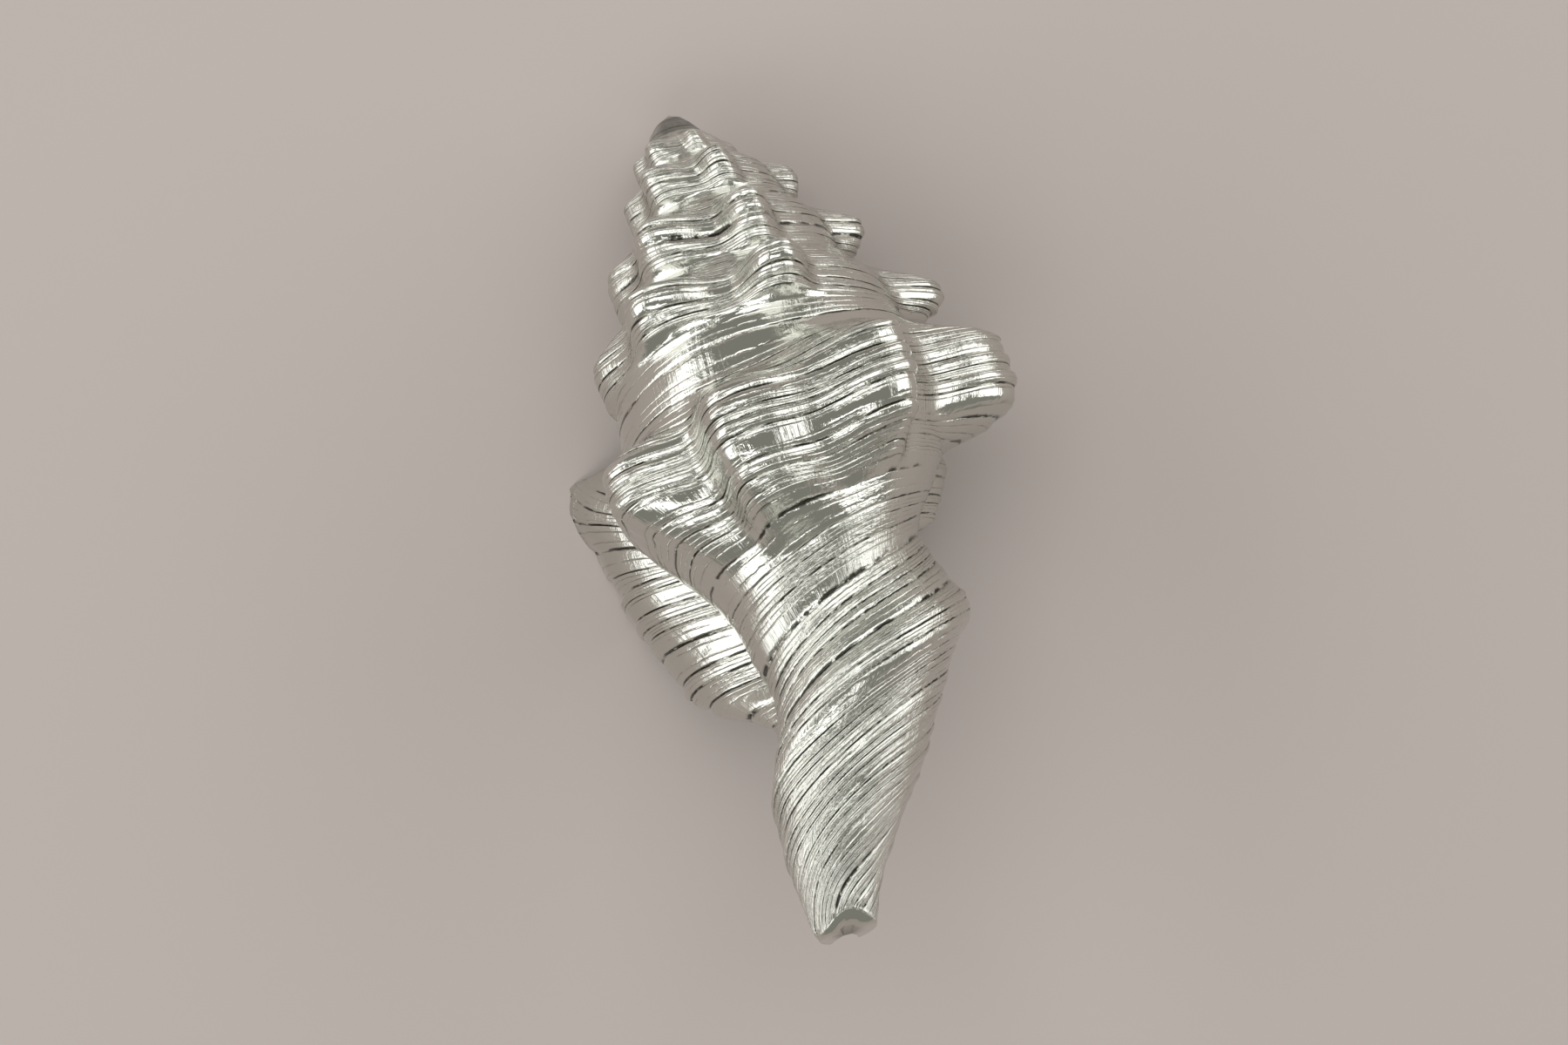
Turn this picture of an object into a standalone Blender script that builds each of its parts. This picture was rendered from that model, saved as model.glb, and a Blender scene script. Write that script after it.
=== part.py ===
"""A knobbed conch shell, lying on its aperture side, as one closed solid.

The shell is described in its own frame: a distance down the coiling axis from the apex, a radius
from that axis and an azimuth about it. Azimuth 0 faces up, +90 is the right side and the shell
grows towards smaller azimuths, so it coils to the right. Growth is counted in turns from the apex.
"""
import math

import bmesh
import bpy
import numpy as np

# All sizes below are millimetres and degrees until the mesh is written out in metres.
MM = 0.001

# Lie of the coiling axis on the table.
AXIS_LEAN = 6.4          # apex leans left of +Y
AXIS_TILT = 21.0         # the axis rises from the apex to the canal
REST_CUT = 1.9           # worn off where the shell rests

# Growth.
COLUMNS_PER_TURN = 45
LIP_TURN = 5.6           # growth turn of the outer lip's edge
KNOB_A_TURN = 5.0        # growth turn of the big knob on the right side
KNOB_A_AZIMUTH = 90.0
SPIRE_ROWS = 10          # from one suture to the next
BASE_ROWS = 24           # from there to the tip of the canal
SHOULDER_ROW = 0.45      # share of the spire rows that the ramp takes
RAMP_POWER = 0.9
CANAL_TIP = 189.5

# Stations of (growth turn, distance down the axis, radius) along each spiral line.
SUTURE = [(0.0, 0.8, 2.2), (1.0, 5.8, 5.8), (2.0, 13.0, 10.2), (3.0, 25.0, 15.5), (4.0, 41.0, 22.0),
          (4.2, 47.0, 25.0), (4.5, 50.5, 26.7), (5.0, 60.5, 31.0), (5.6, 68.0, 33.5), (6.0, 84.0, 34.5),
          (6.3, 93.0, 36.0), (6.6, 96.0, 33.0)]
SHOULDER = [(0.0, 2.8, 4.0), (1.0, 9.0, 8.4), (2.0, 17.0, 14.0), (3.0, 32.0, 20.3), (4.0, 49.5, 28.3),
            (4.5, 60.0, 31.5), (4.75, 67.0, 33.0), (5.0, 74.0, 34.0), (5.3, 83.0, 35.0), (5.6, 85.0, 35.0)]

# Stations of (distance down the axis, radius) for the base and the canal.
CORE = [(60.0, 36.0), (92.0, 30.0), (110.0, 24.5), (120.0, 22.5), (130.0, 20.8), (142.0, 18.6),
        (151.0, 16.7), (160.0, 15.3), (166.0, 13.5), (172.0, 11.6), (177.4, 9.6), (183.0, 7.8),
        (CANAL_TIP, 6.2)]
BASE_BLEND = 26.0        # length over which the whorl's side runs into the core
BULGE = (4.8, 131.0, 7.0)    # height, place at azimuth 90, half length
WAIST = (-4.5, 111.0, 8.0)
BASE_PITCH = 60.0        # the bulge and the waist wind round the base
BASE_SIDE = 60.0         # azimuth where they are strongest
BASE_EVEN = 0.55         # their mean strength round the base
BEND_START, BEND = 129.5, -20.0
APEX_END, APEX_BEND = 30.0, -3.6    # the apex leans off the axis
SPIRE_END = (51.0, 73.0)    # where the spire's own skew and shift fade out
SPIRE_SHIFT = 2.0        # the spire's whorls sit to the right
SPIRE_SKEW = 0.17        # the spire's whorls dip to the right

# Stations of (row, distance down the axis, radius, degrees wrapped under) for the outer lip's edge.
# Row 1 is where a whorl meets the next one.
LIP_EDGE = [(0.0, 68.0, 33.5, 0.0), (0.2, 65.5, 46.0, 0.0), (0.42, 64.5, 60.0, 0.0), (0.55, 68.5, 62.5, 1.5),
            (0.75, 77.0, 63.5, 5.5), (1.0, 90.0, 64.0, 10.0), (1.2, 106.0, 58.0, 10.0),
            (1.36, 122.0, 47.0, 5.0),
            (1.45, 131.0, 35.0, 1.0), (1.55, 141.0, 21.0, 0.0), (1.65, 150.0, 15.0, 0.0),
            (2.0, CANAL_TIP, 6.2, 0.0)]
LIP_START = -60.0        # azimuth where the last stretch of growth begins
LIP_TURN_IN = 0.50       # share of that stretch in which the wall turns in under the knobs
LIP_TURN_IN_ROWS = (0.0, 0.42, 1.3, 1.6)    # rows where it comes in and where it stops
FLARE_START = 0.42       # share where the rolled brim begins
FLARE_POWER = 1.3
EDGE_POWER = 7.0         # the edge bends under in the last millimetres
BRIM_ARCH = 3.5          # degrees by which the brim's middle rises
COLUMELLA = [(1.0, 68.0, 33.5), (1.12, 80.0, 25.0), (1.25, 95.0, 18.0), (1.38, 112.0, 12.5),
             (1.5, 130.0, 11.0), (1.65, 150.0, 13.0), (1.75, 161.7, 13.5), (2.0, CANAL_TIP, 6.2)]
COLUMELLA_END = 150.0    # azimuth where the base takes its full radius again

# The aperture's cavity and the canal's groove.
WALL = 2.2
APERTURE_DEPTH = 0.25    # turns that the cavity runs back behind the lip
CAVITY_TAPER = 0.6       # share by which the cavity narrows towards its end
TAPER_START = 0.2        # share of the depth where it starts to narrow
TAPER_ROW = 1.1          # below this row it narrows less and less
CAVITY_DROP = 2.0        # how far the cavity's roof stays below the suture
MIDDLE_ROWS = 8          # base rows that count towards the cavity's middle
PILLAR_TAPER = 0.25      # share by which the columella thins inside
PILLAR_SINK = 0.4
WALL_TURN_ROWS = (1.0, 1.4)    # rows where the columella's wall climbs with the suture
HUB_SHIFT = 0.22         # the end wall's centre lies nearer to the suture
SLOT = 6.5               # width of the canal's groove
SLOT_ROWS = (1.46, 1.66)   # rows over which the aperture narrows to the groove
SLOT_FLOOR = 0.25        # radius left under the groove, as a share
SLOT_CLOSING = 72.0      # angle of the groove's rounded sides at its floor
SLOT_RADIUS = 4.0        # least radius used for the groove's angle
TWIST_START, CANAL_TWIST = 125.0, 40.0    # the groove turns to face down at the tip
NOTCH = (3.0, 12.0, 55.0)    # depth, azimuth and half width of the notch in the tip's back
NOTCH_ROWS = (1.84, 2.0)

# Knobs of the last whorl: azimuth, height, half widths before and after, crest start and end, tail.
KNOBS = [
    (92.0, 15.5, 22.0, 20.0, 74.0, 89.0, 5.0),
    (36.0, 12.0, 12.0, 30.0, 80.0, 96.0, 10.0),
    (-12.0, 11.0, 26.0, 16.0, 86.0, 104.0, 12.0),
    (-53.0, 10.8, 19.0, 20.0, 88.0, 94.0, 20.0),
    (128.0, 7.5, 12.0, 12.0, 91.0, 102.0, 6.0),
    (148.0, 12.2, 18.0, 18.0, 71.0, 87.0, 9.0),
    (190.0, 3.0, 18.0, 18.0, 66.0, 80.0, 10.0),
    (230.0, 3.0, 18.0, 18.0, 62.0, 76.0, 10.0),
]
KNOB_RISE = 9.0          # length of a knob's upper flank
# The spire's knobs stand at the same azimuths on every whorl: azimuth, share of the shoulder's
# radius, half width.
SPIRE_KNOBS = [(98.0, 0.40, 15.0), (13.0, 0.40, 14.0), (-32.0, 0.30, 20.0), (-78.0, 0.14, 16.0),
               (-125.0, 0.12, 17.0), (-172.0, 0.12, 17.0), (-217.0, 0.22, 17.0)]
SPIRE_KNOB_FADE = 0.5    # how much of a spire knob is gone at the next suture
SPIRE_KNOB_TURNS = (0.2, 1.6)    # growth over which the first knobs rise
LAST_WHORL = (4.52, 4.62)    # growth where the last whorl's own knobs take over
SPIRE_CREST = 0.25       # share of a spire whorl's side that keeps its knobs' full height
BUMP_FALL = (1.4, 0.6)   # how steeply a knob falls off across its width
SHARP_ANGLE = 50.0
NORMAL_STEP = 0.001      # step used to measure the surface's direction


def smooth(low, high, x):
    t = np.clip((x - low) / (high - low), 0.0, 1.0)
    return t * t * (3.0 - 2.0 * t)


def spline(stations, x, column=1):
    """Monotone cubic through hand-set stations."""
    xs = np.array([row[0] for row in stations])
    ys = np.array([row[column] for row in stations])
    step = np.diff(xs)
    rise = np.diff(ys) / step
    slope = np.zeros_like(ys)
    slope[0], slope[-1] = rise[0], rise[-1]
    for i in range(1, len(xs) - 1):
        if rise[i - 1] * rise[i] > 0.0:
            before, after = 2.0 * step[i] + step[i - 1], step[i] + 2.0 * step[i - 1]
            slope[i] = (before + after) / (before / rise[i - 1] + after / rise[i])
    x = np.clip(x, xs[0], xs[-1])
    k = np.clip(np.searchsorted(xs, x, side="right") - 1, 0, len(xs) - 2)
    t = (x - xs[k]) / step[k]
    return ((2 * t**3 - 3 * t**2 + 1) * ys[k] + (t**3 - 2 * t**2 + t) * step[k] * slope[k]
            + (3 * t**2 - 2 * t**3) * ys[k + 1] + (t**3 - t**2) * step[k] * slope[k + 1])


def azimuth_at(turn):
    return KNOB_A_AZIMUTH - 360.0 * (turn - KNOB_A_TURN)


def bump(offset, before, after):
    """Rounded hill across a rib; before and after are its half widths in degrees."""
    width = np.where(offset > 0.0, before, after)
    return np.exp(-BUMP_FALL[0] * (offset / width) ** 2 - BUMP_FALL[1] * (offset / width) ** 4)


def rib_height(turn, down):
    """Height of the knobs over the valleys between them."""
    azimuth = azimuth_at(turn)
    last = smooth(*LAST_WHORL, turn)
    height = np.zeros_like(turn)
    for knob_azimuth, tall, before, after, start, end, tail in KNOBS:
        along = smooth(start - KNOB_RISE, start, down) * (1.0 - smooth(end, end + tail, down))
        height = height + tall * bump(azimuth - knob_azimuth, before, after) * along
    top, low, high = spline(SHOULDER, turn), spline(SUTURE, turn + 1.0), spline(SUTURE, turn)
    fade = SPIRE_KNOB_FADE * smooth(top + SPIRE_CREST * (low - top), low, down)
    along = smooth(high, top, down) ** 2 * (1.0 - fade)
    spire = np.zeros_like(turn)
    for knob_azimuth, share, reach in SPIRE_KNOBS:
        offset = (azimuth - knob_azimuth + 180.0) % 360.0 - 180.0
        spire = spire + share * bump(offset, reach, reach)
    spire = spire * spline(SHOULDER, turn, 2) * along * smooth(*SPIRE_KNOB_TURNS, turn)
    return last * height + (1.0 - last) * spire


def whorl_point(turn, row, ribs):
    """Distance down the axis and radius of the plain whorl, without lip or columella."""
    top, top_radius = spline(SUTURE, turn), spline(SUTURE, turn, 2)
    mid, mid_radius = spline(SHOULDER, turn), spline(SHOULDER, turn, 2)
    low, low_radius = spline(SUTURE, turn + 1.0), spline(SUTURE, turn + 1.0, 2)
    ramp = np.clip(row / SHOULDER_ROW, 0.0, 1.0)
    side = np.clip((row - SHOULDER_ROW) / (1.0 - SHOULDER_ROW), 0.0, 1.0)
    base = np.clip(row - 1.0, 0.0, 1.0)
    down = top + (mid - top) * ramp + (low - mid) * side + (CANAL_TIP - low) * base
    radius = top_radius + (mid_radius - top_radius) * ramp**RAMP_POWER + (low_radius - mid_radius) * side
    azimuth = azimuth_at(turn)
    wound = down - BASE_PITCH * (90.0 - azimuth) / 360.0
    core = spline(CORE, down)
    strength = BASE_EVEN + (1.0 - BASE_EVEN) * np.cos(np.radians(azimuth - BASE_SIDE))
    for tall, centre, reach in (BULGE, WAIST):
        core = core + strength * tall * np.exp(-((wound - centre) / reach) ** 2)
    core_low = spline(CORE, low)
    excess = (low_radius - core_low) * (1.0 - smooth(0.0, BASE_BLEND, down - low))
    radius = np.where(row > 1.0, core + excess, radius)
    return down, radius + ribs * rib_height(turn, down)


def shell_point(turn, row, ribs=1.0):
    """Distance, radius and azimuth of the outer surface."""
    down, radius = whorl_point(turn, row, ribs)
    azimuth = azimuth_at(turn)
    lip_azimuth = azimuth_at(LIP_TURN)
    share = np.clip((LIP_START - azimuth) / (LIP_START - lip_azimuth), 0.0, 1.0)
    brim = np.clip((share - FLARE_START) / (1.0 - FLARE_START), 0.0, 1.0)
    flare = brim**FLARE_POWER
    in_start, in_full, out_start, out_end = LIP_TURN_IN_ROWS
    turned = (smooth(0.0, LIP_TURN_IN, share) * smooth(in_start, in_full, row)
              * (1.0 - smooth(out_start, out_end, row)))
    inner = smooth(COLUMELLA_END, lip_azimuth + 360.0, azimuth) * (row > 1.0)
    down = down + flare * (spline(LIP_EDGE, row) - down)
    radius = radius + flare * (spline(LIP_EDGE, row, 2) - radius)
    arch = BRIM_ARCH * np.sin(math.pi * brim)
    azimuth = (azimuth + turned * (lip_azimuth - azimuth + arch)
               - share**EDGE_POWER * spline(LIP_EDGE, row, 3))
    down = down + inner * (spline(COLUMELLA, row) - down)
    radius = radius + inner * (spline(COLUMELLA, row, 2) - radius)
    middle = lip_azimuth + 180.0
    gap = np.degrees(SLOT / np.maximum(radius, SLOT_RADIUS)) * smooth(*SLOT_ROWS, row)
    side = np.clip((azimuth - middle) / 180.0, -1.0, 1.0)
    azimuth = azimuth - side * gap / 2.0 - CANAL_TWIST * smooth(TWIST_START, CANAL_TIP, down)
    depth, notch_azimuth, half_width = NOTCH
    down = down - depth * bump(azimuth - notch_azimuth, half_width, half_width) * smooth(*NOTCH_ROWS, row)
    return down, radius, azimuth


def place(down, radius, azimuth):
    """Point in the shell's lying frame, before it is set down on the table."""
    lean, tilt = math.radians(AXIS_LEAN), math.radians(AXIS_TILT)
    axis = np.array([math.sin(lean) * math.cos(tilt), -math.cos(lean) * math.cos(tilt), math.sin(tilt)])
    right = np.array([math.cos(lean), math.sin(lean), 0.0])
    up = np.array([-math.sin(lean) * math.sin(tilt), math.cos(lean) * math.sin(tilt), math.cos(tilt)])
    angle = np.radians(azimuth)
    spire = 1.0 - smooth(*SPIRE_END, down)
    across = (radius * np.sin(angle) + BEND * smooth(BEND_START, CANAL_TIP, down)
              + APEX_BEND * (1.0 - smooth(0.0, APEX_END, down)) + SPIRE_SHIFT * spire)
    down = down + SPIRE_SKEW * radius * np.sin(angle) * spire
    return (np.multiply.outer(down, axis) + np.multiply.outer(across, right)
            + np.multiply.outer(radius * np.cos(angle), up))


def surface(turn, row, ribs=1.0):
    turn, row = np.broadcast_arrays(np.asarray(turn, float), np.asarray(row, float))
    return place(*shell_point(turn, row, ribs))


def inner_surface(turn, row, wall):
    """The outer surface without its ribs, moved inwards by the wall's thickness."""
    centre = surface(turn, row, 0.0)
    along = surface(turn + NORMAL_STEP, row, 0.0) - surface(turn - NORMAL_STEP, row, 0.0)
    above = np.maximum(row - NORMAL_STEP, 0.0)
    down = surface(turn, row + NORMAL_STEP, 0.0) - surface(turn, above, 0.0)
    normal = np.cross(along, down)
    normal /= np.maximum(np.linalg.norm(normal, axis=-1, keepdims=True), 1e-9)
    return centre - normal * wall


class ShellMesh:
    """Closed mesh of the shell, built column by column along the growth."""

    def __init__(self, columns_per_turn, spire_rows, base_rows):
        self.points = []
        self.faces = []
        self.turn_columns = columns_per_turn
        self.spire_rows = spire_rows
        self.rows = spire_rows + base_rows
        self.last = round(LIP_TURN * columns_per_turn)
        self.first_body = self.last - columns_per_turn
        self.row_values = np.concatenate([np.linspace(0.0, 1.0, spire_rows + 1),
                                          1.0 + np.linspace(0.0, 1.0, base_rows + 1)[1:]])
        self.grid = {}

    def add(self, point):
        self.points.append(point)
        return len(self.points) - 1

    def face(self, *corners):
        kept = [corner for i, corner in enumerate(corners) if corner != corners[i - 1]]
        if len(kept) > 2:
            self.faces.append(kept)

    def skin(self):
        for i in range(self.last, -1, -1):
            in_body = i >= self.first_body
            count = self.rows if in_body else self.spire_rows - 1
            points = surface(i / self.turn_columns, self.row_values[:count + 1])
            for j in range(count + 1):
                shared = i <= self.first_body and j == self.spire_rows
                if not shared:
                    self.grid[i, j] = self.add(points[j])
            if i <= self.first_body:
                self.grid[i, self.spire_rows] = self.grid[i + self.turn_columns, 0]
        for i in range(self.last):
            count = self.rows if i >= self.first_body else self.spire_rows
            for j in range(count):
                self.face(self.grid[i, j], self.grid[i, j + 1], self.grid[i + 1, j + 1], self.grid[i + 1, j])

    def apex(self):
        loop = [self.grid[i, 0] for i in range(self.turn_columns + 1)]
        loop += [self.grid[0, j] for j in range(self.spire_rows - 1, 0, -1)]
        tip = self.add(place(np.array(0.0), np.array(0.0), np.array(0.0)))
        for i, corner in enumerate(loop):
            self.face(corner, loop[(i + 1) % len(loop)], tip)

    def cavity_section(self, k, steps):
        """Outer side, columella side and top corner of the cavity, k column steps behind the lip."""
        rows, start = self.row_values, self.spire_rows
        depth = k / steps
        turn = LIP_TURN - (k - 1) / self.turn_columns
        groove = smooth(*SLOT_ROWS, rows)[:, None]
        hollow = inner_surface(turn, rows, WALL)
        down, radius, azimuth = shell_point(np.full_like(rows, LIP_TURN), rows)
        sunk = radius * (1.0 - (1.0 - SLOT_FLOOR) * depth)
        half = np.degrees(np.arctan2(0.5 * SLOT * math.cos(math.radians(SLOT_CLOSING * depth)), sunk))
        centre = azimuth - 0.5 * np.degrees(SLOT / np.maximum(radius, SLOT_RADIUS))
        outer = hollow + groove * (place(down, sunk, centre + half) - hollow)
        down, radius, azimuth = shell_point(np.full_like(rows, LIP_TURN - 1.0), rows)
        climb = spline(SUTURE, turn) + CAVITY_DROP * depth - spline(SUTURE, LIP_TURN)
        down = down + (1.0 - smooth(*WALL_TURN_ROWS, rows)) * climb
        radius = radius * (1.0 - PILLAR_TAPER * depth) - PILLAR_SINK
        pillar = place(down, radius, azimuth + 360.0 * APERTURE_DEPTH * depth)
        inner = pillar + groove * (place(down, sunk, centre - half) - pillar)
        corner = inner_surface(turn, rows[:1], WALL)[0]
        middle = np.mean(np.concatenate([outer[:start], inner[start:start + MIDDLE_ROWS]]), axis=0)
        taper = (CAVITY_TAPER * smooth(TAPER_START, 1.0, depth)
                 * (1.0 - smooth(TAPER_ROW, SLOT_ROWS[0], rows))[:, None])
        return (outer + taper * (middle - outer), inner + taper * (middle - inner),
                corner + taper[0] * (middle - corner))

    def aperture(self):
        """The cavity: both its sides run back step by step and meet in an end wall."""
        start, steps = self.spire_rows, round(APERTURE_DEPTH * self.turn_columns)
        outer = {(j, 0): self.grid[self.last, j] for j in range(self.rows + 1)}
        inner = {(j, 0): self.grid[self.first_body, j] for j in range(start, self.rows + 1)}
        for k in range(1, steps + 1):
            outer_points, inner_points, corner = self.cavity_section(k, steps)
            for j in range(1, self.rows + 1):
                outer[j, k] = self.add(outer_points[j])
            for j in range(start + 1, self.rows + 1):
                inner[j, k] = self.add(inner_points[j])
            outer[0, k] = inner[start, k] = self.add(corner)
        for k in range(steps):
            for j in range(self.rows):
                self.face(outer[j, k], outer[j + 1, k], outer[j + 1, k + 1], outer[j, k + 1])
            for j in range(start, self.rows):
                self.face(inner[j, k], inner[j, k + 1], inner[j + 1, k + 1], inner[j + 1, k])
        self.end_wall([outer[j, steps] for j in range(self.rows + 1)],
                      [inner[j, steps] for j in range(start, self.rows + 1)])
        rim = [self.grid[i, self.rows] for i in range(self.first_body, self.last + 1)]
        rim += [outer[self.rows, k] for k in range(1, steps + 1)]
        rim += [inner[self.rows, k] for k in range(steps, 0, -1)]
        self.faces.append(rim[::-1])

    def end_wall(self, outer, inner):
        start = self.spire_rows
        centre = np.mean([self.points[corner] for corner in outer[:start + 1]], axis=0)
        hub = self.add(centre + HUB_SHIFT * (self.points[outer[0]] - centre))
        for j in range(start):
            self.face(outer[j], outer[j + 1], hub)
        self.face(outer[start], inner[0], hub)
        for j in range(start, self.rows):
            self.face(outer[j], outer[j + 1], inner[j + 1 - start], inner[j - start])

    def build(self, name):
        self.skin()
        self.apex()
        self.aperture()
        points = np.array(self.points)
        centre = 0.5 * (points[:, :2].max(axis=0) + points[:, :2].min(axis=0))
        points[:, :2] -= centre
        points[:, 2] -= points[:, 2].min() + REST_CUT
        points[:, 2] = np.maximum(points[:, 2], 0.0)
        mesh = bpy.data.meshes.new(name)
        mesh.from_pydata((points * MM).tolist(), [], self.faces)
        edit = bmesh.new()
        edit.from_mesh(mesh)
        bmesh.ops.triangulate(edit, faces=edit.faces)
        bmesh.ops.recalc_face_normals(edit, faces=edit.faces)
        edit.to_mesh(mesh)
        edit.free()
        mesh.shade_smooth()
        mesh.set_sharp_from_angle(angle=math.radians(SHARP_ANGLE))
        return mesh


def silver():
    material = bpy.data.materials.new("polished_silver")
    material.use_nodes = True
    shader = material.node_tree.nodes["Principled BSDF"]
    shader.inputs["Base Color"].default_value = (0.80, 0.79, 0.76, 1.0)
    shader.inputs["Metallic"].default_value = 1.0
    shader.inputs["Roughness"].default_value = 0.16
    return material


def main():
    for item in list(bpy.data.objects):
        bpy.data.objects.remove(item, do_unlink=True)
    collection = bpy.data.collections.new("ganesh_conch_shell")
    bpy.context.scene.collection.children.link(collection)
    mesh = ShellMesh(COLUMNS_PER_TURN, SPIRE_ROWS, BASE_ROWS).build("conch_shell")
    mesh.materials.append(silver())
    shell = bpy.data.objects.new("conch_shell", mesh)
    collection.objects.link(shell)


main()
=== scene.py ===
"""Looks of a knobbed conch shell in polished silver, lying on its aperture side.

The shell is grown again on a fine grid from the same stations as its solid, and spiral cords,
growth lines and a scalloped lip are raised on it.
"""
from __future__ import annotations

import logging
import math
from dataclasses import dataclass, field
from enum import Enum
from typing import Any

import bmesh
import bpy
import numpy as np
from mathutils import Matrix, Vector


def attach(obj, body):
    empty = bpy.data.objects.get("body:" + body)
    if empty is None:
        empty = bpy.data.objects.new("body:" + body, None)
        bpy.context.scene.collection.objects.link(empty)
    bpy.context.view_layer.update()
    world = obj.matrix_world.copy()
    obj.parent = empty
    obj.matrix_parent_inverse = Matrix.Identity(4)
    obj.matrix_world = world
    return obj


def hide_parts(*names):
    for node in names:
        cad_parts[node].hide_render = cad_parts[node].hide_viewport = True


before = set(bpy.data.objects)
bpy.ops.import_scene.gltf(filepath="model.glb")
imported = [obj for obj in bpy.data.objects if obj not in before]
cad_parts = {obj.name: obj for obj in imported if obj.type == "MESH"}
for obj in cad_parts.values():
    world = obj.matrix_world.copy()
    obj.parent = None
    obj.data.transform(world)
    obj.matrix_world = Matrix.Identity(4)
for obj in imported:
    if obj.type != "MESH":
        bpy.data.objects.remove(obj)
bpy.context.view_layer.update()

LOG = logging.getLogger("conch_shell")
MM = 0.001
TINY = 1e-9
BUMP_FALL = (1.4, 0.6)
CANAL_TIP = 189.5
Array = np.ndarray
Stations = tuple[tuple[float, ...], ...]


class Part(Enum):
    """Sides of the shell's wall."""

    OUTSIDE = 0.0
    APERTURE = 1.0


def smooth(low: float, high: float, x: Array) -> Array:
    """Smooth step.

    Args:
        low: Where it is 0.
        high: Where it is 1.
        x: Where to read it.

    Returns:
        The step's value at each x.
    """
    t = np.clip((x - low) / (high - low), 0.0, 1.0)
    return t * t * (3.0 - 2.0 * t)


def band(limits: tuple[float, float, float, float], x: Array) -> Array:
    """1 in the middle of a range, fading at both its ends.

    Args:
        limits: Where it starts, is full, starts to fall and ends.
        x: Where to read it.

    Returns:
        The share at each x.
    """
    start, full, falling, end = limits
    return smooth(start, full, x) * (1.0 - smooth(falling, end, x))


def spline(stations: Stations, x: Array, column: int = 1) -> Array:
    """Monotone cubic through given stations.

    Args:
        stations: Rows of a position and the values there.
        x: Where to read it.
        column: Which value of the rows to read.

    Returns:
        The value at each x.
    """
    xs = np.array([row[0] for row in stations])
    ys = np.array([row[column] for row in stations])
    step = np.diff(xs)
    rise = np.diff(ys) / step
    slope = np.zeros_like(ys)
    slope[0], slope[-1] = rise[0], rise[-1]
    for i in range(1, len(xs) - 1):
        if rise[i - 1] * rise[i] > 0.0:
            before, after = 2.0 * step[i] + step[i - 1], step[i] + 2.0 * step[i - 1]
            slope[i] = (before + after) / (before / rise[i - 1] + after / rise[i])
    x = np.clip(x, xs[0], xs[-1])
    k = np.clip(np.searchsorted(xs, x, side="right") - 1, 0, len(xs) - 2)
    t = (x - xs[k]) / step[k]
    return ((2 * t**3 - 3 * t**2 + 1) * ys[k] + (t**3 - 2 * t**2 + t) * step[k] * slope[k]
            + (3 * t**2 - 2 * t**3) * ys[k + 1] + (t**3 - t**2) * step[k] * slope[k + 1])


def bump(offset: Array, before: float, after: float) -> Array:
    """Rounded hill across a knob.

    Args:
        offset: Degrees from the knob's middle.
        before: Half width on the side that grew first.
        after: Half width on the other side.

    Returns:
        1 at the middle, falling to 0.
    """
    width = np.where(offset > 0.0, before, after)
    round_fall, steep_fall = BUMP_FALL
    return np.exp(-round_fall * (offset / width) ** 2 - steep_fall * (offset / width) ** 4)


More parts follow.
